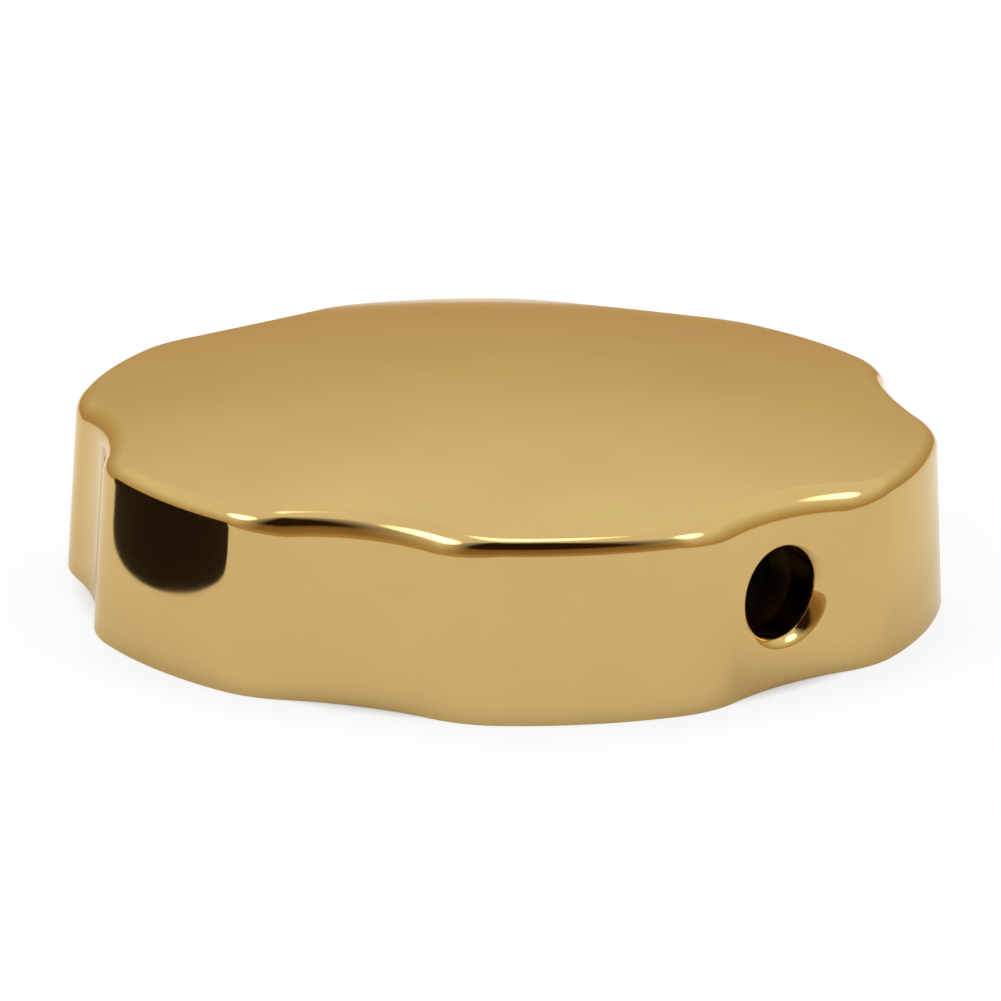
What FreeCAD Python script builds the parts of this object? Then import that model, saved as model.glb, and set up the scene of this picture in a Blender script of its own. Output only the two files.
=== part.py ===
"""Tap handle: a low scalloped disc of polished brass, held on its spindle by a grub screw.

The body is one casting. Its drafted rim has six wide lobes with a shallow finger scallop between
each pair, and its top is a low dome. One scallop carries the hole that lets a hex key reach the
grub screw. Underneath it is hollow, with a central boss that holds a splined socket for the
tap's spindle.
Millimetres; +Z up through the spindle axis, +X along the grub screw, the rim stands on Z = 0.
"""
import FreeCAD, Part
import math
import os
from FreeCAD import Vector

# Outer form
body_diameter = 50.0         # across opposite lobes, at the bottom edge
rim_height = 10.0            # to the edge of the top, at the lobes
dome_rise = 2.4              # from that edge to the middle of the top
scallop_count = 6
scallop_depth = 1.6          # below the circle of the lobes
scallop_radius = 18.0        # hollow curve of a scallop, in plan
corner_radius = 7.0          # soft turn from a scallop to a lobe, in plan
wall_draft = 3.4             # degrees, the rim narrows towards the top
lobe_edge_radius = 1.0       # rounding of the top edge along a lobe
scallop_edge_radius = 1.5    # fuller rounding where a scallop meets the top

# Hollow underside
rim_wall = 3.9               # thickness of the rim at the bottom of a scallop
crown_thickness = 1.9        # under the edge of the dome, where it is thinnest
recess_corner = 0.4          # bevel where the rim meets the ceiling of the hollow
rim_edge_break = 0.3         # chamfer round the mouth of the recess
boss_diameter = 16.0
boss_setback = 1.0           # the boss ends this far above the standing plane
boss_root = 0.8              # bevel where the boss meets it

# Splined spindle socket
spline_teeth = 20
spline_root_diameter = 8.0
spline_tip_diameter = 7.2
socket_roof = 4.9            # brass left above the blind end of the socket
socket_lead_in = 0.5

# Grub screw and the way to it
access_hole_diameter = 5.0
access_countersink = 0.3     # depth of the 90 degree countersink at the hole's mouth
screw_diameter = 4.0
screw_rise = 0.2             # the screw's axis lies this far above the middle of the rim
screw_length = 4.0
screw_clearance = 0.05       # round the screw in its tapped hole
screw_tip_gap = 0.1          # backed off this far from the socket's teeth
screw_key_size = 2.0         # across the flats of the hexagon
screw_key_depth = 2.0
screw_tip_chamfer = 0.5
screw_head_chamfer = 0.3

# Places that follow from those sizes
body_radius = body_diameter / 2
pitch = 2 * math.pi / scallop_count
scallop_floor = body_radius - scallop_depth
scallop_center = scallop_floor + scallop_radius
corner_center = body_radius - corner_radius
body_height = rim_height + dome_rise
lean = math.tan(math.radians(wall_draft))
edge_radius = body_radius - rim_height * lean
dome_radius = (edge_radius**2 + dome_rise**2) / (2 * dome_rise)
recess_radius = scallop_floor - rim_wall
recess_top = rim_height - crown_thickness
boss_radius = boss_diameter / 2
spline_root = spline_root_diameter / 2
spline_tip = spline_tip_diameter / 2
socket_top = body_height - socket_roof
screw_height = rim_height / 2 + screw_rise
screw_start = spline_root + screw_tip_gap
access_radius = access_hole_diameter / 2
tapped_radius = screw_diameter / 2 + screw_clearance
overrun = 1.0                # how far a cutter passes the face that it opens

UP = Vector(0, 0, 1)
ALONG_SCREW = Vector(1, 0, 0)
SCREW_AXIS = Vector(0, 0, screw_height)


def polar(radius, angle, z):
    """Point at a radius and an angle about the spindle axis."""
    return Vector(radius * math.cos(angle), radius * math.sin(angle), z)


def toward(start, goal, distance):
    """Point that lies a distance from start on the way to goal."""
    return start + (goal - start).normalize() * distance


def corner_angle():
    """Angle from a scallop's middle to the centre of the corner arc beside it."""
    reach = scallop_radius + corner_radius
    cosine = (scallop_center**2 + corner_center**2 - reach**2) / (2 * scallop_center * corner_center)
    return math.acos(cosine)


def rim_outline(inset, z):
    """Closed outline of the rim, set in from the bottom outline by an even distance."""
    turn = corner_angle()
    edges = []
    for index in range(scallop_count):
        middle = index * pitch
        hollow = polar(scallop_center, middle, z)
        next_hollow = polar(scallop_center, middle + pitch, z)
        before = polar(corner_center, middle - turn, z)
        after = polar(corner_center, middle + turn, z)
        far = polar(corner_center, middle + pitch - turn, z)

        hollow_radius = scallop_radius + inset
        scallop_start = toward(hollow, before, hollow_radius)
        scallop_middle = polar(scallop_floor - inset, middle, z)
        scallop_end = toward(hollow, after, hollow_radius)
        lobe_start = polar(body_radius - inset, middle + turn, z)
        lobe_middle = polar(body_radius - inset, middle + pitch / 2, z)
        lobe_end = polar(body_radius - inset, middle + pitch - turn, z)
        next_start = toward(next_hollow, far, hollow_radius)

        edges.append(Part.Arc(scallop_start, scallop_middle, scallop_end).toShape())
        edges.append(corner_arc(after, scallop_end, lobe_start, corner_radius - inset))
        edges.append(Part.Arc(lobe_start, lobe_middle, lobe_end).toShape())
        edges.append(corner_arc(far, lobe_end, next_start, corner_radius - inset))
    return Part.Wire(edges)


def corner_arc(center, start, end, radius):
    """Convex arc between a lobe and a scallop."""
    middle = toward(center, (start + end) / 2, radius)
    return Part.Arc(start, middle, end).toShape()


def rim_solid():
    """Drafted disc under a low dome: every wall leans in alike, so each arc becomes a cone."""
    walls = Part.makeLoft([rim_outline(0, 0), rim_outline(body_height * lean, body_height)], True, True)
    ball = Part.makeSphere(dome_radius)
    ball.rotate(Vector(0, 0, 0), Vector(0, 1, 0), 90)    # keeps its poles and seam off the top
    ball.translate(UP * (body_height - dome_radius))
    return walls.common(ball)


def edge_rounding(radius_from_axis):
    """Rounding that belongs to a point of the top outline: a lobe, or its junction with a scallop."""
    on_lobe = radius_from_axis > edge_radius - scallop_depth / 20
    return lobe_edge_radius if on_lobe else scallop_edge_radius


def rounded_rim():
    """The disc with its top edge rounded, tightly on the lobes and more fully in the scallops."""
    document = FreeCAD.newDocument("rim")
    sharp = document.addObject("Part::Feature", "sharp")
    sharp.Shape = rim_solid()
    radii = []
    for number, edge in enumerate(sharp.Shape.Edges, start=1):
        if edge.BoundBox.ZMin < rim_height - overrun / 100:
            continue
        ends = [edge.valueAt(edge.FirstParameter), edge.valueAt(edge.LastParameter)]
        first, last = [edge_rounding(math.hypot(end.x, end.y)) for end in ends]
        radii.append((number, first, last))
    rounded = document.addObject("Part::Fillet", "rounded")
    rounded.Base = sharp
    rounded.Edges = radii
    document.recompute()
    shape = rounded.Shape.copy()
    FreeCAD.closeDocument(document.Name)
    return shape


def recess():
    """Hollow between the rim and the boss, turned about the spindle axis, to be cut away."""
    outline = Part.makePolygon([
        Vector(0, 0, 0),
        Vector(recess_radius + rim_edge_break, 0, 0),
        Vector(recess_radius, 0, rim_edge_break),
        Vector(recess_radius, 0, recess_top - recess_corner),
        Vector(recess_radius - recess_corner, 0, recess_top),
        Vector(boss_radius + boss_root, 0, recess_top),
        Vector(boss_radius, 0, recess_top - boss_root),
        Vector(boss_radius, 0, boss_setback),
        Vector(0, 0, boss_setback),
        Vector(0, 0, 0),
    ])
    hollow = Part.Face(outline).revolve(Vector(0, 0, 0), UP, 360)
    hollow.rotate(Vector(0, 0, 0), UP, 180)    # turns its seam away from the cross holes
    return hollow


def spindle_socket():
    """Blind serrated socket with a lead-in at its mouth, to be cut from the boss."""
    points = []
    for index in range(2 * spline_teeth):
        radius = spline_root if index % 2 == 0 else spline_tip
        points.append(polar(radius, index * math.pi / spline_teeth, boss_setback))
    teeth = Part.Face(Part.makePolygon(points + points[:1]))
    bore = teeth.extrude(UP * (socket_top - boss_setback))
    lead_in = Part.makeCone(spline_root + socket_lead_in, spline_root, socket_lead_in,
                            Vector(0, 0, boss_setback), UP)
    return bore.fuse(lead_in)


def access_hole():
    """Hex-key hole through the rim, with a countersunk mouth in the scallop, to be cut away."""
    start = SCREW_AXIS + ALONG_SCREW * (recess_radius - overrun)
    drill = Part.makeCylinder(access_radius, rim_wall + 2 * overrun, start, ALONG_SCREW)
    face = scallop_floor - screw_height * lean
    mouth_start = SCREW_AXIS + ALONG_SCREW * (face - access_countersink)
    depth = access_countersink + overrun
    mouth = Part.makeCone(access_radius, access_radius + depth, depth, mouth_start, ALONG_SCREW)
    return drill.fuse(mouth)


def handle_body():
    """One-piece brass body."""
    body = rounded_rim().cut(recess()).cut(access_hole())
    tapped = Part.makeCylinder(tapped_radius, boss_radius + overrun, SCREW_AXIS, ALONG_SCREW)
    return body.cut(spindle_socket()).cut(tapped)


def grub_screw():
    """Set screw with a hexagon socket, wound back until it clears the spindle."""
    radius = screw_diameter / 2
    profile = Part.makePolygon([
        Vector(0, 0, 0),
        Vector(radius - screw_tip_chamfer, 0, 0),
        Vector(radius, 0, screw_tip_chamfer),
        Vector(radius, 0, screw_length - screw_head_chamfer),
        Vector(radius - screw_head_chamfer, 0, screw_length),
        Vector(0, 0, screw_length),
        Vector(0, 0, 0),
    ])
    shank = Part.Face(profile).revolve(Vector(0, 0, 0), UP, 360)
    across_corners = screw_key_size / math.cos(math.pi / 6)
    corners = [polar(across_corners / 2, index * math.pi / 3, screw_length) for index in range(6)]
    key = Part.Face(Part.makePolygon(corners + corners[:1])).extrude(UP * -screw_key_depth)
    screw = shank.cut(key)
    screw.rotate(Vector(0, 0, 0), Vector(0, 1, 0), 90)
    screw.translate(SCREW_AXIS + ALONG_SCREW * screw_start)
    return screw


def export(shape, node):
    """Write one sub-part under its node's name."""
    shape.exportStep(os.path.join("parts", node + ".step"))


os.makedirs("parts", exist_ok=True)
export(handle_body(), "handle_body")
export(grub_screw(), "grub_screw")
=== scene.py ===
"""Tap handle: the polished gold disc with its scalloped rim, its hollow underside and its grub screw."""
import math

import bmesh
import bpy
from mathutils import Matrix, Vector


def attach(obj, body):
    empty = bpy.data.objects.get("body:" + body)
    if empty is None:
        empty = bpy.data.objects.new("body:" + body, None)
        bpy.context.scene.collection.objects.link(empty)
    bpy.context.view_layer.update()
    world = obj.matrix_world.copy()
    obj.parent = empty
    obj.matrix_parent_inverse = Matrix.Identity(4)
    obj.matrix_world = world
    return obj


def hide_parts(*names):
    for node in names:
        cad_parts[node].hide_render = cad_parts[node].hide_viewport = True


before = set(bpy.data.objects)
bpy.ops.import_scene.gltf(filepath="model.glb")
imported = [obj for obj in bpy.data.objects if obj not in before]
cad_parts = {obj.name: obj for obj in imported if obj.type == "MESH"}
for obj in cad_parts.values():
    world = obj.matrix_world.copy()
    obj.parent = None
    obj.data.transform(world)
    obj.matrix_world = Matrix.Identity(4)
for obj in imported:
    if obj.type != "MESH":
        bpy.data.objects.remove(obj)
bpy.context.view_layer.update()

# Sizes of the handle in millimetres, as in the part's source
BODY_RADIUS = 25.0
RIM_HEIGHT = 10.0
DOME_RISE = 2.4
BODY_HEIGHT = RIM_HEIGHT + DOME_RISE
SCALLOPS = 6
SCALLOP_DEPTH = 1.6
SCALLOP_RADIUS = 18.0
CORNER_RADIUS = 7.0
LEAN = math.tan(math.radians(3.4))
LOBE_EDGE = 1.0
SCALLOP_EDGE = 1.5
RECESS_RADIUS = 19.5
RECESS_TOP = 8.1
RECESS_CORNER = 0.4
RIM_BREAK = 0.3
BOSS_RADIUS = 8.0
BOSS_END = 1.0
BOSS_ROOT = 0.8
TEETH = 20
TOOTH_ROOT = 4.0
TOOTH_TIP = 3.6
LEAD_IN = 0.5
SOCKET_TOP = 7.5
SCREW_HEIGHT = 5.2
HOLE_RADIUS = 2.5
COUNTERSINK = 0.3
TAPPED_RADIUS = 2.05
SCREW_RADIUS = 2.0
SCREW_TIP = 4.1
SCREW_HEAD = 8.1
TIP_CHAMFER = 0.5
HEAD_CHAMFER = 0.3
THREAD_PITCH = 0.7
THREAD_DEPTH = 0.36
KEY_SIZE = 2.0
KEY_DEPTH = 2.0
MILLIMETRE = 0.001

# Small details of the casting and the screw
FOOT_EDGE = 0.1
FOOT_FLAT = 4 * FOOT_EDGE
BOSS_BREAK = 0.15
CUP_RADIUS = 1.1
CUP_FLOOR = 0.6
CUP_DEPTH = 0.35
THREAD_FLAT = 0.12
KEY_LEAD = 0.12
KEY_POINT = 0.3

# Numbers of the casting's finishes
POLISHED, CAST, TURNED, BROACHED = range(4)

# Places that follow from them
PITCH = 2 * math.pi / SCALLOPS
DRAFT = math.atan(LEAN)
SCALLOP_FLOOR = BODY_RADIUS - SCALLOP_DEPTH
SCALLOP_CENTER = SCALLOP_FLOOR + SCALLOP_RADIUS
CORNER_CENTER = BODY_RADIUS - CORNER_RADIUS
EDGE_RADIUS = BODY_RADIUS - RIM_HEIGHT * LEAN
DOME_RADIUS = (EDGE_RADIUS**2 + DOME_RISE**2) / (2 * DOME_RISE)
DOME_CENTER = Vector((0, 0, BODY_HEIGHT - DOME_RADIUS))
MOUTH_START = SCALLOP_FLOOR - SCREW_HEIGHT * LEAN - COUNTERSINK
TUNNEL_START = 18.5
TUNNEL_END = 21.0
TAPPED_START = 2.5
TAPPED_END = 8.6

# How finely the pieces are divided
SCALLOP_STEPS = 24
CORNER_STEPS = 14
LOBE_STEPS = 28
FOOT_STEPS = 6
LOW_WALL_STEPS = 5
PATCH_STEPS = 20
PATCH_REACH = 3.4
PATCH_LOW = SCREW_HEIGHT - PATCH_REACH
PATCH_HIGH = SCREW_HEIGHT + PATCH_REACH
PATCH_SHARES = (0.3, 0.6, 0.85)
EDGE_STEPS = 14
EDGE_SUPPORT = 0.05
BORE_SUPPORT = 0.6
DOME_STEPS = 22
COLUMNS = SCALLOPS * (SCALLOP_STEPS + 2 * CORNER_STEPS + LOBE_STEPS)
RECESS_LEVELS = (2.0, 4.0, 6.0)
CEILING_RADII = (16.5, 13.5, 10.5)
BOSS_LEVELS = (5.0, 3.0)
SOCKET_STEP = 0.01
HOLE_MARGIN = 0.02
SCREW_STEPS = 48
THREAD_STEPS = 64
SETTLE_ROUNDS = 12
SAME_PLACE = 1e-4
MERGE_REACH = 0.005

# Camera, as it stood for the photograph
CAMERA_SIDE = math.radians(-41.3)
CAMERA_RISE = math.radians(18.03)
CAMERA_DISTANCE = 0.3495
CAMERA_ROLL = 0.0143
CAMERA_LENS = 220.8
SENSOR_WIDTH = 36.0
CAMERA_SHIFT = (-0.0013, 0.0802)

# Studio: the warm horizon that the metal mirrors, and the round dark block beside the handle
HORIZON = (0.63, 0.45, 0.22)
BLOCK_RADIUS = 19.0
BLOCK_HEIGHT = 11.0
BLOCK_DISTANCE = 18.0
BLOCK_SIDE = math.radians(-137.0)
BLOCK_COLOR = (0.008, 0.003, 0.001)
DARK_CARD = (0.03, 0.015, 0.006)
FRONT_SPAN = (0.42, 0.78)
GLOW_EDGE = math.radians(13)
GLOW_CORE = math.radians(5)

# Floor, in metres, and how much of it glows to the camera and in the metal
FLOOR_SIZE = 3.0
FLOOR_DROP = 0.00002
FLOOR_SEEN = 0.85
FLOOR_MIRRORED = 0.4
FLOOR_GREY = 0.66
# Reach from the middle over which the floor's glow fades out: painted shade under the handle, on top of
# the real shadow of its diffuse part
PAINTED_SHADE_UNDER_HANDLE = (0.0225, 0.0245)
FAR_FLOOR = (0.08, 0.2)

# Tones between which each metal drifts, and the tint of its grazing reflections
PLATE_TONES = ((0.60, 0.415, 0.165), (0.57, 0.39, 0.152))
CASTING_TONES = ((0.58, 0.38, 0.15), (0.50, 0.32, 0.12))
TURNED_TONES = ((0.66, 0.45, 0.18), (0.61, 0.41, 0.16))
BROACHED_TONES = ((0.66, 0.46, 0.2), (0.56, 0.38, 0.15))
STEEL_TONES = ((0.33, 0.33, 0.34), (0.25, 0.25, 0.26))
GOLD_EDGE = (0.96, 0.9, 0.76)
STEEL_EDGE = (0.9, 0.9, 0.9)


def polar(radius, angle, z=0.0):
    """Point at a radius and an angle about the spindle axis."""
    return Vector((radius * math.cos(angle), radius * math.sin(angle), z))


def around_screw(x, radius, angle):
    """Point at a radius and an angle about the screw's axis."""
    return Vector((x, radius * math.cos(angle), SCREW_HEIGHT + radius * math.sin(angle)))


class Lamp:
    """Softbox: its place, size and power, and the strength of its glow in the metal."""

    def __init__(self, name, place, size, power, glow):
        self.name = name
        self.place = place
        self.size = size
        self.power = power
        self.glow = glow


OVERHEAD = polar(0.12, CAMERA_SIDE + math.pi, 0.42)
LEFT = polar(0.4, CAMERA_SIDE - math.radians(75), 0.45)
RIGHT = polar(0.4, CAMERA_SIDE + math.radians(80), 0.45)
LAMPS = (
    Lamp("overhead_softbox", OVERHEAD, size=0.16, power=0.8, glow=3.0),
    Lamp("left_softbox", LEFT, size=0.3, power=1.5, glow=4.5),
    Lamp("right_softbox", RIGHT, size=0.25, power=0.8, glow=4.0),
)


def grow_ring(bm, ring, places):
    """Extrude a closed ring of vertices and set the new ring on its places."""
    pairs = zip(ring, ring[1:] + ring[:1])
    edges = [bm.edges.get(pair) for pair in pairs]
    grown = bmesh.ops.extrude_edge_only(bm, edges=edges)["geom"]
    fresh = {item for item in grown if isinstance(item, bmesh.types.BMVert)}
    new_ring = []
    for vert, place in zip(ring, places):
        partners = [edge.other_vert(vert) for edge in vert.link_edges]
        copy = next(partner for partner in partners if partner in fresh)
        copy.co = place
        new_ring.append(copy)
    return new_ring


def first_ring(bm, places, filled=False):
    """Circle of vertices set on its places."""
    ring = bmesh.ops.create_circle(bm, segments=len(places), radius=1.0, cap_ends=filled)["verts"]
    for vert, place in zip(ring, places):
        vert.co = place
    return ring


def close_ring(bm, ring):
    """Gather a small ring into the point at its middle."""
    middle = sum((vert.co for vert in ring), Vector()) / len(ring)
    bmesh.ops.pointmerge(bm, verts=ring, merge_co=middle)


def bezier(start, corner, end, steps):
    """Points of a soft turn from start round a corner to end, without the first."""
    points = []
    for step in range(1, steps + 1):
        share = step / steps
        points.append(start * (1 - share)**2 + corner * (2 * share * (1 - share)) + end * share**2)
    return points


class Column:
    """One upright line of the rim's wall: the arc it lies on, its outward normal, its share of lobe."""

    def __init__(self, center, radius, angle, lobe_share):
        self.center = center
        self.radius = radius
        self.outward = Vector((math.cos(angle), math.sin(angle), 0))
        self.lobe_share = lobe_share

    def at(self, inset, z):
        """Point at a height, set in from the arc."""
        point = self.center + self.outward * (self.radius - inset)
        return Vector((point.x, point.y, z))

    def wall(self, z):
        """Point of the leaning wall at a height."""
        return self.at(LEAN * z, z)

    def wall_normal(self):
        """Outward normal of the leaning wall."""
        return self.outward * math.cos(DRAFT) + Vector((0, 0, math.sin(DRAFT)))


def rim_columns():
    """The wall's columns once round the rim, from the start of the scallop with the hole."""
    reach = SCALLOP_RADIUS + CORNER_RADIUS
    cosine = (SCALLOP_CENTER**2 + CORNER_CENTER**2 - reach**2) / (2 * SCALLOP_CENTER * CORNER_CENTER)
    turn = math.acos(cosine)
    sweep = math.asin(CORNER_CENTER * math.sin(turn) / reach)
    columns = []
    for sector in range(SCALLOPS):
        middle = sector * PITCH
        hollow = polar(SCALLOP_CENTER, middle)
        after = polar(CORNER_CENTER, middle + turn)
        before = polar(CORNER_CENTER, middle + PITCH - turn)
        for step in range(SCALLOP_STEPS):
            angle = middle + sweep * (1 - 2 * step / SCALLOP_STEPS)
            columns.append(Column(hollow, -SCALLOP_RADIUS, angle, 0.0))
        for step in range(CORNER_STEPS):
            share = step / CORNER_STEPS
            angle = middle - sweep + (turn + sweep) * share
            columns.append(Column(after, CORNER_RADIUS, angle, share))
        for step in range(LOBE_STEPS):
            angle = middle + turn + (PITCH - 2 * turn) * step / LOBE_STEPS
            columns.append(Column(Vector(), BODY_RADIUS, angle, 1.0))
        for step in range(CORNER_STEPS):
            share = step / CORNER_STEPS
            angle = middle + PITCH - turn + (turn + sweep) * share
            columns.append(Column(before, CORNER_RADIUS, angle, 1.0 - share))
    return columns


def hollow_angles(columns):
    """Even angles about the spindle axis, numbered from the one beside the rim's first column."""
    step = 2 * math.pi / COLUMNS
    first = columns[0].wall(0)
    shift = round(math.atan2(first.y, first.x) / step)
    return [(index + shift) * step for index in range(COLUMNS)]


def on_dome(point):
    """The point of the dome above a point."""
    rise = math.sqrt(DOME_RADIUS**2 - point.x**2 - point.y**2)
    return Vector((point.x, point.y, DOME_CENTER.z + rise))


def edge_ball(column):
    """Centre and radius of the ball that touches the wall and the dome, and its normal at the dome."""
    radius = SCALLOP_EDGE + (LOBE_EDGE - SCALLOP_EDGE) * column.lobe_share
    z = RIM_HEIGHT - radius
    for _ in range(SETTLE_ROUNDS):
        center = column.at(LEAN * z + radius / math.cos(DRAFT), z)
        reach = center.x**2 + center.y**2
        z = DOME_CENTER.z + math.sqrt((DOME_RADIUS - radius)**2 - reach)
    center.z = z
    return center, radius, (center - DOME_CENTER).normalized()


def wall_x(y, z):
    """How far out the face of the scallop with the hole lies."""
    radius = SCALLOP_RADIUS + LEAN * z
    return SCALLOP_CENTER - math.sqrt(radius**2 - y**2)


def on_wall(y, z):
    """Point of that face."""
    return Vector((wall_x(y, z), y, z))


def foot_rings(bm, columns):
    """Standing face from the mouth of the hollow outwards, and its rounded outer edge."""
    mouth = [polar(RECESS_RADIUS + RIM_BREAK, angle) for angle in hollow_angles(columns)]
    ring = first_ring(bm, mouth)
    ring = grow_ring(bm, ring, [column.at(FOOT_FLAT, 0) for column in columns])
    down = Vector((0, 0, -1))
    inset = LEAN * FOOT_EDGE + FOOT_EDGE / math.cos(DRAFT)
    for step in range(FOOT_STEPS + 1):
        places = []
        for column in columns:
            way = down.slerp(column.wall_normal(), step / FOOT_STEPS)
            places.append(column.at(inset, FOOT_EDGE) + way * FOOT_EDGE)
        ring = grow_ring(bm, ring, places)
    return ring


def wall_rings(bm, ring, columns):
    """Leaning wall from the foot to the top of the patch with the hole; gives the patch's rows."""
    for step in range(1, LOW_WALL_STEPS):
        z = FOOT_EDGE + (PATCH_LOW - FOOT_EDGE) * step / LOW_WALL_STEPS
        ring = grow_ring(bm, ring, [column.wall(z) for column in columns])
    rows = []
    for step in range(PATCH_STEPS + 1):
        z = PATCH_LOW + (PATCH_HIGH - PATCH_LOW) * step / PATCH_STEPS
        ring = grow_ring(bm, ring, [column.wall(z) for column in columns])
        rows.append(ring)
    return rows


def edge_rings(bm, ring, columns):
    """Rest of the wall, and the rounded edge up to the dome."""
    balls = [edge_ball(column) for column in columns]
    touch = [(center + column.wall_normal() * radius).z
             for column, (center, radius, normal) in zip(columns, balls)]
    for share in (0.5, 1.0):
        places = [column.wall(PATCH_HIGH + (top - EDGE_SUPPORT - PATCH_HIGH) * share)
                  for column, top in zip(columns, touch)]
        ring = grow_ring(bm, ring, places)
    for step in range(EDGE_STEPS + 1):
        places = []
        for column, (center, radius, normal) in zip(columns, balls):
            places.append(center + column.wall_normal().slerp(normal, step / EDGE_STEPS) * radius)
        ring = grow_ring(bm, ring, places)
    return ring


def dome_rings(bm, ring):
    """Dome from the rounded edge to the middle of the top."""
    edge = [vert.co.copy() for vert in ring]
    for step in range(DOME_STEPS):
        share = 1 - EDGE_SUPPORT / BODY_RADIUS if step == 0 else 1 - step / DOME_STEPS
        ring = grow_ring(bm, ring, [on_dome(place * share) for place in edge])
    close_ring(bm, ring)


def polished_skin(bm):
    """Foot, wall, rounded edge and dome of the handle, grown ring by ring, with the hole's mouth."""
    columns = rim_columns()
    ring = foot_rings(bm, columns)
    rows = wall_rings(bm, ring, columns)
    ring = edge_rings(bm, rows[-1], columns)
    dome_rings(bm, ring)
    hole_ring = hole_mouth(bm, rows)
    for face in bm.faces:
        under = all(vert.co.z < SAME_PLACE for vert in face.verts)
        face.material_index = TURNED if under else POLISHED
    return hole_ring


def hole_mouth(bm, rows):
    """Open the scallop's wall and lead it over the countersink; gives the hole's inner ring."""
    left = SCALLOP_STEPS // 2 - PATCH_STEPS // 2
    right = left + PATCH_STEPS
    inside = []
    for low, high in zip(rows, rows[1:]):
        for index in range(left, right):
            corners = (low[index], low[index + 1], high[index + 1], high[index])
            inside.append(bm.faces.get(corners))
    border = rows[0][left:right]
    border += [row[right] for row in rows[:-1]]
    border += [rows[-1][index] for index in range(right, left, -1)]
    border += [row[left] for row in reversed(rows[1:])]
    bmesh.ops.delete(bm, geom=inside, context="FACES")

    count = len(border)
    start = math.atan2(border[0].co.z - SCREW_HEIGHT, border[0].co.y)
    profiles = [mouth_profile(start + 2 * math.pi * index / count) for index in range(count)]
    border_places = [vert.co.copy() for vert in border]
    ring = border
    for share in PATCH_SHARES:
        places = []
        for place, profile in zip(border_places, profiles):
            between = place.lerp(profile[0], share)
            places.append(on_wall(between.y, between.z))
        ring = grow_ring(bm, ring, places)
    for level in range(len(profiles[0])):
        ring = grow_ring(bm, ring, [profile[level] for profile in profiles])
    return ring


def mouth_profile(angle):
    """Points from the scallop's face over the countersink into the hole, at one angle about its axis."""
    radius = HOLE_RADIUS + COUNTERSINK
    for _ in range(SETTLE_ROUNDS):
        face = around_screw(0, radius, angle)
        radius = HOLE_RADIUS + wall_x(face.y, face.z) - MOUTH_START
    width = radius - HOLE_RADIUS
    on_face = 0.4 * width + 0.05
    on_cone = 0.38 * width
    in_bore = 0.45 * width + 0.03
    outer = around_screw(0, radius + on_face, angle)
    outer = on_wall(outer.y, outer.z)
    rim = around_screw(MOUTH_START + width, radius, angle)
    upper = around_screw(MOUTH_START + width - on_cone, radius - on_cone, angle)
    lower = around_screw(MOUTH_START + on_cone, HOLE_RADIUS + on_cone, angle)
    throat = around_screw(MOUTH_START, HOLE_RADIUS, angle)
    bore = around_screw(MOUTH_START - in_bore, HOLE_RADIUS, angle)
    deep = around_screw(MOUTH_START - BORE_SUPPORT, HOLE_RADIUS, angle)
    end = around_screw(TUNNEL_END, HOLE_RADIUS, angle)
    outer_turn = bezier(outer, rim, upper, steps=5)
    inner_turn = bezier(lower, throat, bore, steps=4)
    return [outer, *outer_turn, lower, *inner_turn, deep, end]


def tooth_radius(angle):
    """Radius of the serrated socket, whose teeth are straight-sided and sharp."""
    share = (angle * TEETH / (2 * math.pi)) % 1.0
    return TOOTH_ROOT + (TOOTH_TIP - TOOTH_ROOT) * (1 - abs(2 * share - 1))


def quarter_turn(steps):
    """Angles of a quarter turn, with both ends."""
    return [math.pi / 2 * step / steps for step in range(steps + 1)]


def hollow_shape():
    """The air under the handle as a closed form: recess, boss and splined socket."""
    bm = bmesh.new()
    angles = hollow_angles(rim_columns())

    def circle(radius, z):
        return [polar(radius, angle, z) for angle in angles]

    ring = first_ring(bm, circle(RECESS_RADIUS + RIM_BREAK, 0), filled=True)
    for z in (RIM_BREAK, *RECESS_LEVELS, RECESS_TOP - RECESS_CORNER):
        ring = grow_ring(bm, ring, circle(RECESS_RADIUS, z))
    for turn in quarter_turn(5)[1:]:
        radius = RECESS_RADIUS - RECESS_CORNER * (1 - math.cos(turn))
        ring = grow_ring(bm, ring, circle(radius, RECESS_TOP - RECESS_CORNER * (1 - math.sin(turn))))
    for radius in CEILING_RADII:
        ring = grow_ring(bm, ring, circle(radius, RECESS_TOP))
    for turn in quarter_turn(6):
        radius = BOSS_RADIUS + BOSS_ROOT * (1 - math.sin(turn))
        ring = grow_ring(bm, ring, circle(radius, RECESS_TOP - BOSS_ROOT * (1 - math.cos(turn))))
    for z in (*BOSS_LEVELS, BOSS_END + BOSS_BREAK):
        ring = grow_ring(bm, ring, circle(BOSS_RADIUS, z))
    ring = grow_ring(bm, ring, circle(BOSS_RADIUS - BOSS_BREAK, BOSS_END))
    ring = grow_ring(bm, ring, circle(TOOTH_ROOT + LEAD_IN, BOSS_END))
    ring = grow_ring(bm, ring, circle(TOOTH_ROOT + SOCKET_STEP, BOSS_END + LEAD_IN))
    for z in (BOSS_END + LEAD_IN, SOCKET_TOP):
        ring = grow_ring(bm, ring, [polar(tooth_radius(angle), angle, z) for angle in angles])
    ring = grow_ring(bm, ring, circle(TOOTH_ROOT / 2, SOCKET_TOP))
    close_ring(bm, ring)
    bmesh.ops.recalc_face_normals(bm, faces=bm.faces)
    return finish_mesh(bm, "hollow")


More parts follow.
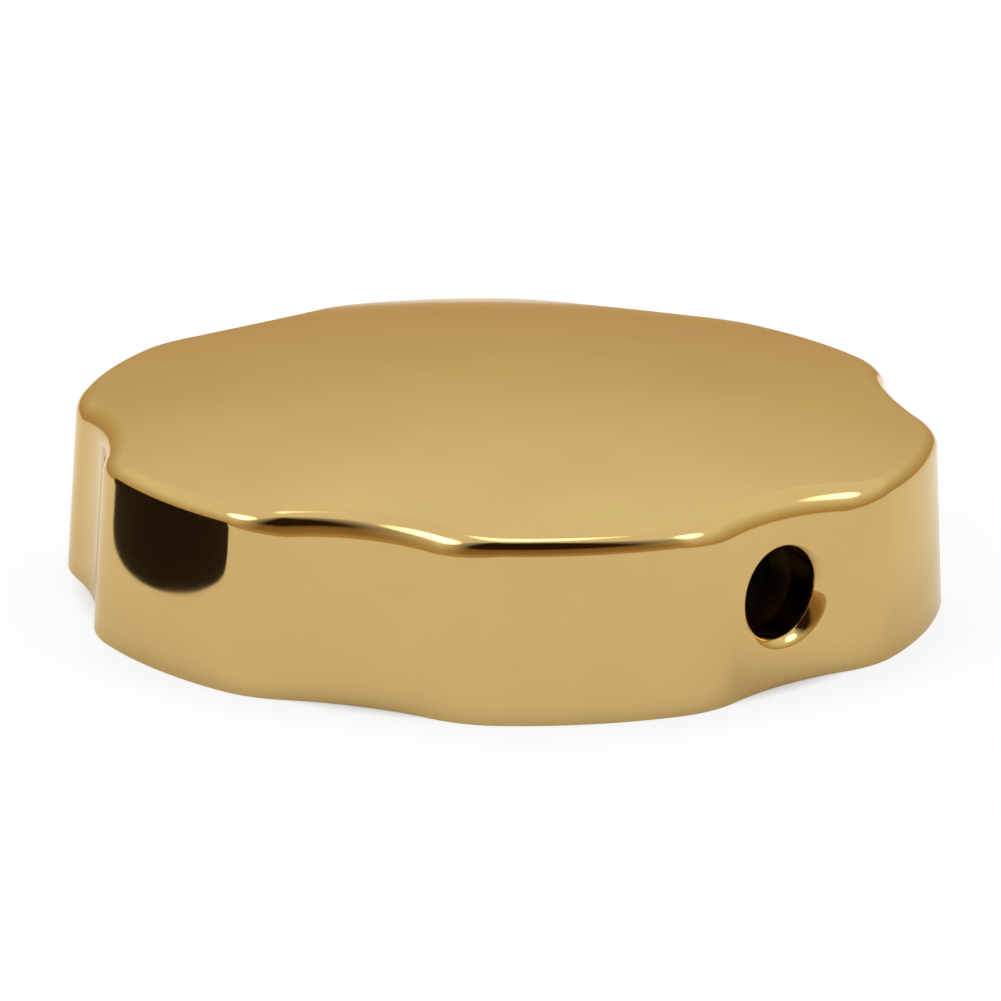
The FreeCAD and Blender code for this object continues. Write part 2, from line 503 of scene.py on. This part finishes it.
def cross_holes(angles):
    """Closed rods for the hex-key tunnel in the rim and the tapped hole in the boss."""
    bm = bmesh.new()
    tunnel = (TUNNEL_START, TUNNEL_END, HOLE_RADIUS)
    tapped = (TAPPED_START, TAPPED_END, TAPPED_RADIUS)
    for low, high, radius in (tunnel, tapped):
        ring = first_ring(bm, [around_screw(low, radius, angle) for angle in angles], filled=True)
        ring = grow_ring(bm, ring, [around_screw(high, radius, angle) for angle in angles])
        bmesh.ops.contextual_create(bm, geom=ring)
    bmesh.ops.recalc_face_normals(bm, faces=bm.faces)
    return finish_mesh(bm, "cross_holes")


def finish_mesh(bm, name):
    """Turn a bmesh into a mesh."""
    mesh = bpy.data.meshes.new(name)
    bm.to_mesh(mesh)
    bm.free()
    return mesh


def place_object(mesh, name):
    """Object for a mesh, linked into the scene."""
    piece = bpy.data.objects.new(name, mesh)
    bpy.context.scene.collection.objects.link(piece)
    return piece


def drilled_hollow(angles):
    """The hollow joined with its cross holes, as one mesh."""
    hollow = place_object(hollow_shape(), "hollow")
    rods = place_object(cross_holes(angles), "cross_holes")
    join = hollow.modifiers.new("join", "BOOLEAN")
    join.operation = "UNION"
    join.solver = "EXACT"
    join.object = rods
    evaluated = hollow.evaluated_get(bpy.context.evaluated_depsgraph_get())
    mesh = bpy.data.meshes.new_from_object(evaluated)
    bpy.data.objects.remove(hollow)
    bpy.data.objects.remove(rods)
    return mesh


def finish_of(face):
    """Which finish a face of the hollow has: cast, turned or broached."""
    middle = face.calc_center_median()
    radius = math.hypot(middle.x, middle.y)
    if radius < TOOTH_ROOT + LEAD_IN:
        return BROACHED
    on_screw_line = math.hypot(middle.y, middle.z - SCREW_HEIGHT) < HOLE_RADIUS + HOLE_MARGIN
    along_screw = abs(face.normal.x) < 0.5
    if on_screw_line and along_screw and middle.x > 0:
        return BROACHED
    if radius < BOSS_RADIUS and middle.z < BOSS_END + BOSS_BREAK:
        return TURNED
    return CAST


def handle_mesh():
    """The whole casting as one closed mesh."""
    bm = bmesh.new()
    hole_ring = polished_skin(bm)
    offsets = [math.atan2(vert.co.z - SCREW_HEIGHT, vert.co.y) for vert in hole_ring]
    skin_faces = set(bm.faces)
    bm.from_mesh(drilled_hollow(offsets))
    hollow_faces = [face for face in bm.faces if face not in skin_faces]
    for face in hollow_faces:
        face.normal_update()
        face.material_index = finish_of(face)
    lids = []
    for face in hollow_faces:
        under = all(abs(vert.co.z) < SAME_PLACE for vert in face.verts)
        in_rim = all(abs(vert.co.x - TUNNEL_END) < SAME_PLACE for vert in face.verts)
        if under or in_rim:
            lids.append(face)
    bmesh.ops.delete(bm, geom=lids, context="FACES_ONLY")

    rims = [vert for vert in bm.verts if vert.is_boundary]
    bmesh.ops.remove_doubles(bm, verts=rims, dist=MERGE_REACH)
    bmesh.ops.recalc_face_normals(bm, faces=bm.faces)
    return finish_mesh(bm, "handle")


def thread_radius(x, angle):
    """Radius of the screw's thread, cut back by the chamfers at its ends."""
    phase = (x / THREAD_PITCH - angle / (2 * math.pi)) % 1.0
    slope = (abs(2 * phase - 1) - THREAD_FLAT) / (1 - 2 * THREAD_FLAT)
    slope = min(max(slope, 0.0), 1.0)
    at_tip = SCREW_RADIUS - TIP_CHAMFER + x - SCREW_TIP
    at_head = SCREW_RADIUS - HEAD_CHAMFER + SCREW_HEAD - x
    return min(SCREW_RADIUS - THREAD_DEPTH * slope, at_tip, at_head)


def hexagon_radius(angle, across):
    """Radius of a hexagon of that size across its flats."""
    return across / 2 / math.cos((angle + math.pi / 6) % (math.pi / 3) - math.pi / 6)


def screw_mesh():
    """Set screw: cupped tip, helical thread, chamfered head with a hexagon socket."""
    bm = bmesh.new()
    angles = [2 * math.pi * index / SCREW_STEPS for index in range(SCREW_STEPS)]

    def circle(x, radius):
        return [around_screw(x, radius, angle) for angle in angles]

    def hexagon(x):
        return [around_screw(x, hexagon_radius(angle, KEY_SIZE), angle) for angle in angles]

    ring = first_ring(bm, circle(SCREW_TIP + CUP_DEPTH, CUP_FLOOR), filled=True)
    ring = grow_ring(bm, ring, circle(SCREW_TIP, CUP_RADIUS))
    for step in range(THREAD_STEPS + 1):
        x = SCREW_TIP + (SCREW_HEAD - SCREW_TIP) * step / THREAD_STEPS
        ring = grow_ring(bm, ring, [around_screw(x, thread_radius(x, angle), angle) for angle in angles])
    corner = KEY_SIZE / 2 / math.cos(math.pi / 6)
    ring = grow_ring(bm, ring, circle(SCREW_HEAD, corner + KEY_LEAD / 2))
    ring = grow_ring(bm, ring, hexagon(SCREW_HEAD - KEY_LEAD))
    ring = grow_ring(bm, ring, hexagon(SCREW_HEAD - KEY_DEPTH))
    ring = grow_ring(bm, ring, circle(SCREW_HEAD - KEY_DEPTH - KEY_POINT, KEY_POINT))
    close_ring(bm, ring)
    bmesh.ops.recalc_face_normals(bm, faces=bm.faces)
    return finish_mesh(bm, "screw")


def finished_piece(mesh, name, materials, crease):
    """Object in metres, smooth but for edges sharper than the crease, in its finishes."""
    mesh.transform(Matrix.Scale(MILLIMETRE, 4))
    mesh.polygons.foreach_set("use_smooth", [True] * len(mesh.polygons))
    mesh.set_sharp_from_angle(angle=math.radians(crease))
    for material in materials:
        mesh.materials.append(material)
    return place_object(mesh, name)


class Nodes:
    """Short way to add and join the nodes of a tree."""

    def __init__(self, tree):
        self.tree = tree

    def add(self, kind, **values):
        """New node with its settings."""
        node = self.tree.nodes.new(kind)
        for key, value in values.items():
            setattr(node, key, value)
        return node

    def join(self, output, target):
        """Link from an output to an input."""
        self.tree.links.new(output, target)

    def feed(self, socket, value):
        """Link or constant for an input; None leaves it as it is."""
        if value is None:
            return
        if isinstance(value, bpy.types.NodeSocket):
            self.join(value, socket)
        else:
            socket.default_value = value

    def math(self, operation, first, second=None, third=None, clamp=False):
        """Sum, product or other result of plain values."""
        node = self.add("ShaderNodeMath", operation=operation, use_clamp=clamp)
        for socket, value in zip(node.inputs, (first, second, third)):
            self.feed(socket, value)
        return node.outputs[0]

    def weigh(self, first, second, share):
        """A share of the first value and the rest of the second."""
        most = self.math("MULTIPLY", first, share)
        return self.math("ADD", most, self.math("MULTIPLY", second, 1 - share))

    def vector(self, operation, first, second=None):
        """Result of a vector operation: a length or a product as a value, or else a vector."""
        node = self.add("ShaderNodeVectorMath", operation=operation)
        for socket, value in zip(node.inputs, (first, second)):
            self.feed(socket, value)
        kind = "Value" if operation in ("LENGTH", "DOT_PRODUCT") else "Vector"
        return node.outputs[kind]

    def blend(self, share, first, second):
        """Colour between two colours."""
        node = self.add("ShaderNodeMix", data_type="RGBA")
        colors = [socket for socket in node.inputs if socket.type == "RGBA"]
        self.feed(node.inputs["Factor"], share)
        for socket, value in zip(colors, (first, second)):
            self.feed(socket, value)
        return next(socket for socket in node.outputs if socket.type == "RGBA")

    def noise(self, vector, scale, detail=3.0, roughness=0.5):
        """Cloudy values from about 0.3 to 0.7."""
        node = self.add("ShaderNodeTexNoise")
        self.feed(node.inputs["Vector"], vector)
        self.feed(node.inputs["Scale"], scale)
        node.inputs["Detail"].default_value = detail
        node.inputs["Roughness"].default_value = roughness
        return node.outputs["Fac"]

    def span(self, value, low, high, to_low=0.0, to_high=1.0):
        """Value moved from one span to another, and held at its ends."""
        node = self.add("ShaderNodeMapRange")
        limits = (value, low, high, to_low, to_high)
        for socket, limit in zip(node.inputs, limits):
            self.feed(socket, limit)
        return node.outputs["Result"]

    def mix(self, share, first, second):
        """Shader between two shaders."""
        node = self.add("ShaderNodeMixShader")
        for socket, value in zip(node.inputs, (share, first, second)):
            self.feed(socket, value)
        return node.outputs[0]


def new_group(name, inputs, outputs):
    """Shader node group with named sockets."""
    tree = bpy.data.node_groups.new(name, "ShaderNodeTree")
    for label, kind, value in inputs:
        socket = tree.interface.new_socket(label, in_out="INPUT", socket_type=kind)
        if value is not None:
            socket.default_value = value
    for label, kind in outputs:
        tree.interface.new_socket(label, in_out="OUTPUT", socket_type=kind)
    nodes = Nodes(tree)
    return tree, nodes, nodes.add("NodeGroupInput"), nodes.add("NodeGroupOutput")


def tone_group():
    """Slow drift of the metal's tone from one colour to another."""
    tree, nodes, given, result = new_group("tone_drift", [
        ("Vector", "NodeSocketVector", None),
        ("Scale", "NodeSocketFloat", 120.0),
        ("First Tone", "NodeSocketColor", None),
        ("Second Tone", "NodeSocketColor", None),
    ], [("Color", "NodeSocketColor")])
    cloud = nodes.noise(given.outputs["Vector"], given.outputs["Scale"], detail=4.0)
    share = nodes.span(cloud, 0.35, 0.65)
    tone = nodes.blend(share, given.outputs["First Tone"], given.outputs["Second Tone"])
    nodes.join(tone, result.inputs["Color"])
    return tree


def polish_group():
    """Hand-buffed metal: patches of finer and coarser polish, and the faint swell of a buffed face."""
    tree, nodes, given, result = new_group("buffed_polish", [
        ("Vector", "NodeSocketVector", None),
        ("Finest", "NodeSocketFloat", 0.05),
        ("Coarsest", "NodeSocketFloat", 0.1),
        ("Swell", "NodeSocketFloat", 260.0),
    ], [("Roughness", "NodeSocketFloat"), ("Height", "NodeSocketFloat")])
    patches = nodes.noise(given.outputs["Vector"], 180.0, detail=5.0, roughness=0.6)
    hairs = nodes.noise(given.outputs["Vector"], 5200.0, detail=2.0)
    polish = nodes.weigh(patches, hairs, 0.75)
    rough = nodes.span(polish, 0.35, 0.65, given.outputs["Finest"], given.outputs["Coarsest"])
    nodes.join(rough, result.inputs["Roughness"])
    swell = nodes.noise(given.outputs["Vector"], given.outputs["Swell"], detail=1.0)
    nodes.join(swell, result.inputs["Height"])
    return tree


def grain_group():
    """Blasted casting skin: fine pits over a coarser unevenness."""
    tree, nodes, given, result = new_group("casting_grain", [
        ("Vector", "NodeSocketVector", None),
        ("Grain", "NodeSocketFloat", 3500.0),
        ("Finest", "NodeSocketFloat", 0.35),
        ("Coarsest", "NodeSocketFloat", 0.55),
    ], [("Roughness", "NodeSocketFloat"), ("Height", "NodeSocketFloat")])
    pits = nodes.noise(given.outputs["Vector"], given.outputs["Grain"], detail=3.0, roughness=0.6)
    uneven = nodes.noise(given.outputs["Vector"], 600.0, detail=3.0)
    nodes.join(nodes.weigh(pits, uneven, 0.6), result.inputs["Height"])
    rough = nodes.span(uneven, 0.3, 0.7, given.outputs["Finest"], given.outputs["Coarsest"])
    nodes.join(rough, result.inputs["Roughness"])
    return tree


def turning_group():
    """Lathe marks: fine rings about the third axis of the vector."""
    tree, nodes, given, result = new_group("turning_marks", [
        ("Vector", "NodeSocketVector", None),
        ("Rings per Metre", "NodeSocketFloat", 7000.0),
        ("Finest", "NodeSocketFloat", 0.16),
        ("Coarsest", "NodeSocketFloat", 0.3),
    ], [("Roughness", "NodeSocketFloat"), ("Height", "NodeSocketFloat")])
    flat = nodes.vector("MULTIPLY", given.outputs["Vector"], (1, 1, 0))
    drift = nodes.math("MULTIPLY", nodes.noise(given.outputs["Vector"], 400.0), 0.0002)
    radius = nodes.math("ADD", nodes.vector("LENGTH", flat), drift)
    wave = nodes.math("SINE", nodes.math("MULTIPLY", radius, given.outputs["Rings per Metre"]))
    rings = nodes.math("MULTIPLY_ADD", wave, 0.5, 0.5)
    nodes.join(rings, result.inputs["Height"])
    rough = nodes.span(rings, 0.0, 1.0, given.outputs["Finest"], given.outputs["Coarsest"])
    nodes.join(rough, result.inputs["Roughness"])
    return tree


TONE = tone_group()
POLISH = polish_group()
GRAIN = grain_group()
TURNING = turning_group()


def metal(name, finish, tones, values, bump, edge_tint=GOLD_EDGE, mapping=None):
    """Metal whose roughness and relief come from one of the finishes, in a drifting tone."""
    material = bpy.data.materials.new(name)
    material.use_nodes = True
    nodes = Nodes(material.node_tree)
    shader = material.node_tree.nodes["Principled BSDF"]
    shader.inputs["Metallic"].default_value = 1.0
    shader.inputs["Specular Tint"].default_value = (*edge_tint, 1)
    place = nodes.add("ShaderNodeTexCoord").outputs["Object"]
    if mapping:
        turn = nodes.add("ShaderNodeMapping")
        nodes.join(place, turn.inputs["Vector"])
        turn.inputs["Location"].default_value = mapping["location"]
        turn.inputs["Rotation"].default_value = mapping["rotation"]
        turn.inputs["Scale"].default_value = mapping["scale"]
        place = turn.outputs["Vector"]
    tone = nodes.add("ShaderNodeGroup", node_tree=TONE)
    nodes.join(place, tone.inputs["Vector"])
    tone.inputs["First Tone"].default_value = (*tones[0], 1)
    tone.inputs["Second Tone"].default_value = (*tones[1], 1)
    nodes.join(tone.outputs["Color"], shader.inputs["Base Color"])
    surface = nodes.add("ShaderNodeGroup", node_tree=finish)
    nodes.join(place, surface.inputs["Vector"])
    for label, value in values.items():
        surface.inputs[label].default_value = value
    nodes.join(surface.outputs["Roughness"], shader.inputs["Roughness"])
    relief = nodes.add("ShaderNodeBump")
    relief.inputs["Strength"].default_value = 1.0
    relief.inputs["Distance"].default_value = bump
    nodes.join(surface.outputs["Height"], relief.inputs["Height"])
    nodes.join(relief.outputs["Normal"], shader.inputs["Normal"])
    return material


def gold_finishes():
    """Finishes of the casting, in the order of the face numbers."""
    polished = metal("polished_gold_plate", POLISH, PLATE_TONES,
                     {"Finest": 0.045, "Coarsest": 0.085, "Swell": 240.0}, bump=0.000008)
    cast = metal("plated_casting_skin", GRAIN, CASTING_TONES,
                 {"Grain": 3200.0, "Finest": 0.34, "Coarsest": 0.5}, bump=0.00006)
    turned = metal("turned_brass_face", TURNING, TURNED_TONES,
                   {"Rings per Metre": 22000.0, "Finest": 0.15, "Coarsest": 0.28}, bump=0.000012)
    drawn = {"location": (0, 0, 0), "rotation": (0, 0, 0), "scale": (1, 1, 0.1)}
    broached = metal("broached_brass", GRAIN, BROACHED_TONES,
                     {"Grain": 5000.0, "Finest": 0.22, "Coarsest": 0.36}, bump=0.00002, mapping=drawn)
    return [polished, cast, turned, broached]


def screw_finish():
    """Dark stainless steel with the turner's rings about the screw's axis."""
    on_axis = {
        "location": (SCREW_HEIGHT * MILLIMETRE, 0, 0),
        "rotation": (0, math.pi / 2, 0),
        "scale": (1, 1, 1),
    }
    return metal("screw_steel", TURNING, STEEL_TONES,
                 {"Rings per Metre": 26000.0, "Finest": 0.24, "Coarsest": 0.4},
                 bump=0.000008, edge_tint=STEEL_EDGE, mapping=on_axis)


def build_handle():
    """The casting and its screw, riding on the part's only body."""
    handle = finished_piece(handle_mesh(), "polished_handle", gold_finishes(), crease=28)
    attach(handle, "root")
    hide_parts("handle_body")
    screw = finished_piece(screw_mesh(), "set_screw", [screw_finish()], crease=35)
    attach(screw, "root")
    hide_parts("grub_screw")


def floor_material():
    """White to the camera, with painted shade under the handle where its glow is taken away on top of
    the real shadow, and warm where the metal mirrors its far part.
    """
    material = bpy.data.materials.new("pale_floor")
    material.use_nodes = True
    nodes = Nodes(material.node_tree)
    material.node_tree.nodes.clear()
    path = nodes.add("ShaderNodeLightPath")
    mirrored = nodes.math("ADD", path.outputs["Is Glossy Ray"], path.outputs["Is Transmission Ray"])
    seen = nodes.math("MULTIPLY", path.outputs["Is Camera Ray"], FLOOR_SEEN)
    share = nodes.math("ADD", seen, nodes.math("MULTIPLY", mirrored, FLOOR_MIRRORED), clamp=True)
    reach = nodes.vector("LENGTH", nodes.add("ShaderNodeTexCoord").outputs["Object"])
    # Glow taken away under the handle: painted shade there, on top of the diffuse part's real shadow
    share = nodes.math("MULTIPLY", share, nodes.span(reach, *PAINTED_SHADE_UNDER_HANDLE))
    far = nodes.math("MULTIPLY", nodes.span(reach, *FAR_FLOOR), mirrored)
    share = nodes.math("MAXIMUM", share, far)
    glow = nodes.add("ShaderNodeEmission")
    glow.inputs["Strength"].default_value = 1.0
    nodes.join(nodes.blend(far, (1, 1, 1, 1), (*HORIZON, 1)), glow.inputs["Color"])
    plain = nodes.add("ShaderNodeBsdfDiffuse")
    plain.inputs["Color"].default_value = (FLOOR_GREY, FLOOR_GREY, FLOOR_GREY, 1)
    result = nodes.add("ShaderNodeOutputMaterial")
    nodes.join(nodes.mix(share, plain.outputs[0], glow.outputs[0]), result.inputs["Surface"])
    return material


def build_floor():
    """Pale floor that keeps the handle's shadow."""
    bm = bmesh.new()
    bmesh.ops.create_grid(bm, x_segments=1, y_segments=1, size=FLOOR_SIZE)
    bmesh.ops.translate(bm, verts=bm.verts, vec=(0, 0, -FLOOR_DROP))
    floor = place_object(finish_mesh(bm, "floor"), "floor")
    floor.data.materials.append(floor_material())


def build_dark_block():
    """Round dark block beside the handle, out of the camera's sight, that the near lobe mirrors."""
    bm = bmesh.new()
    bmesh.ops.create_cone(bm, cap_ends=True, segments=96, radius1=BLOCK_RADIUS, radius2=BLOCK_RADIUS,
                          depth=BLOCK_HEIGHT)
    near_lobe = Vector((0, -BODY_RADIUS, BLOCK_HEIGHT / 2))
    away = polar(BLOCK_DISTANCE + BLOCK_RADIUS, BLOCK_SIDE)
    bmesh.ops.translate(bm, verts=bm.verts, vec=near_lobe + away)
    mesh = finish_mesh(bm, "dark_block")
    mesh.transform(Matrix.Scale(MILLIMETRE, 4))
    block = place_object(mesh, "dark_block")
    material = bpy.data.materials.new("dark_card")
    material.use_nodes = True
    shader = material.node_tree.nodes["Principled BSDF"]
    shader.inputs["Base Color"].default_value = (*BLOCK_COLOR, 1)
    shader.inputs["Roughness"].default_value = 0.9
    mesh.materials.append(material)
    block.visible_camera = False
    block.visible_diffuse = False
    block.visible_shadow = False


def studio_walls(nodes, way):
    """Colour of the surroundings: bright and warm behind the handle, dark high up before it."""
    parts = nodes.add("ShaderNodeSeparateXYZ")
    nodes.join(way, parts.inputs[0])
    height = nodes.span(parts.outputs["Z"], -1.0, 1.0)
    heading = nodes.vector("NORMALIZE", nodes.vector("MULTIPLY", way, (1, 1, 0)))
    toward = nodes.vector("DOT_PRODUCT", heading, polar(1.0, CAMERA_SIDE))
    front = nodes.span(toward, *FRONT_SPAN)
    behind = elevation_ramp(nodes, height, (
        (-20, HORIZON),
        (0, HORIZON),
        (16, (0.80, 0.72, 0.50)),
        (36, (1.1, 1.12, 1.08)),
        (90, (1.1, 1.1, 1.1)),
    ))
    before = elevation_ramp(nodes, height, (
        (-20, HORIZON),
        (3, HORIZON),
        (12, (0.42, 0.28, 0.13)),
        (32, (0.32, 0.2, 0.085)),
        (42, DARK_CARD),
        (80, DARK_CARD),
        (88, (1.0, 1.0, 1.0)),
    ))
    return nodes.blend(front, behind, before)


def build_studio():
    """White surroundings for the camera, and soft studio walls and lamps for the metal to mirror."""
    world = bpy.data.worlds.new("studio")
    bpy.context.scene.world = world
    world.use_nodes = True
    nodes = Nodes(world.node_tree)
    world.node_tree.nodes.clear()
    path = nodes.add("ShaderNodeLightPath")
    way = nodes.add("ShaderNodeTexCoord").outputs["Generated"]
    walls = nodes.add("ShaderNodeBackground")
    nodes.join(studio_walls(nodes, way), walls.inputs["Color"])
    glow = 0.0
    for lamp in LAMPS:
        glow = nodes.math("ADD", glow, soft_glow(nodes, way, lamp))
        softbox(lamp)
    lamps = nodes.add("ShaderNodeBackground")
    lamps.inputs["Color"].default_value = (1, 1, 1, 1)
    nodes.join(nodes.math("MULTIPLY", glow, path.outputs["Is Glossy Ray"]), lamps.inputs["Strength"])
    lit = nodes.add("ShaderNodeAddShader")
    nodes.join(walls.outputs[0], lit.inputs[0])
    nodes.join(lamps.outputs[0], lit.inputs[1])
    white = nodes.add("ShaderNodeBackground")
    white.inputs["Color"].default_value = (1, 1, 1, 1)
    result = nodes.add("ShaderNodeOutputWorld")
    shown = nodes.mix(path.outputs["Is Camera Ray"], lit.outputs[0], white.outputs[0])
    nodes.join(shown, result.inputs["Surface"])


def soft_glow(nodes, way, lamp):
    """Soft-edged round light that the metal mirrors in the direction of a lamp."""
    aim = nodes.vector("DOT_PRODUCT", way, lamp.place.normalized())
    return nodes.span(aim, math.cos(GLOW_EDGE), math.cos(GLOW_CORE), 0.0, lamp.glow)


def softbox(lamp):
    """Square light aimed at the handle, mirrored in the metal only by its soft glow."""
    light = bpy.data.lights.new(lamp.name, "AREA")
    light.size = lamp.size
    light.energy = lamp.power
    holder = bpy.data.objects.new(lamp.name, light)
    holder.location = lamp.place
    holder.rotation_euler = (-lamp.place).to_track_quat("-Z", "Y").to_euler()
    holder.visible_glossy = False
    bpy.context.scene.collection.objects.link(holder)


def elevation_ramp(nodes, height, stops):
    """Colours by elevation in degrees, over the height of a unit direction from 0 below to 1 above."""
    ramp = nodes.add("ShaderNodeValToRGB")
    nodes.join(height, ramp.inputs["Fac"])
    elements = ramp.color_ramp.elements
    while len(elements) < len(stops):
        elements.new(0.5)
    for element, (degrees, color) in zip(elements, stops):
        element.position = (math.sin(math.radians(degrees)) + 1) / 2
        element.color = (*color, 1)
    return ramp.outputs["Color"]


def build_camera():
    """Camera at the photograph's place, aimed at the middle of the standing plane."""
    lens = bpy.data.cameras.new("camera")
    lens.sensor_width = SENSOR_WIDTH
    lens.lens = CAMERA_LENS
    lens.shift_x, lens.shift_y = CAMERA_SHIFT
    lens.clip_start = 0.01
    camera = bpy.data.objects.new("camera", lens)
    flat = CAMERA_DISTANCE * math.cos(CAMERA_RISE)
    camera.location = polar(flat, CAMERA_SIDE, CAMERA_DISTANCE * math.sin(CAMERA_RISE))
    aim = (-Vector(camera.location)).to_track_quat("-Z", "Y").to_matrix()
    roll = Matrix.Rotation(CAMERA_ROLL, 3, "Z")
    camera.rotation_euler = (aim @ roll).to_euler()
    bpy.context.scene.collection.objects.link(camera)
    bpy.context.scene.camera = camera


build_camera()
build_handle()
build_floor()
build_dark_block()
build_studio()
bpy.context.scene.view_settings.view_transform = "Standard"
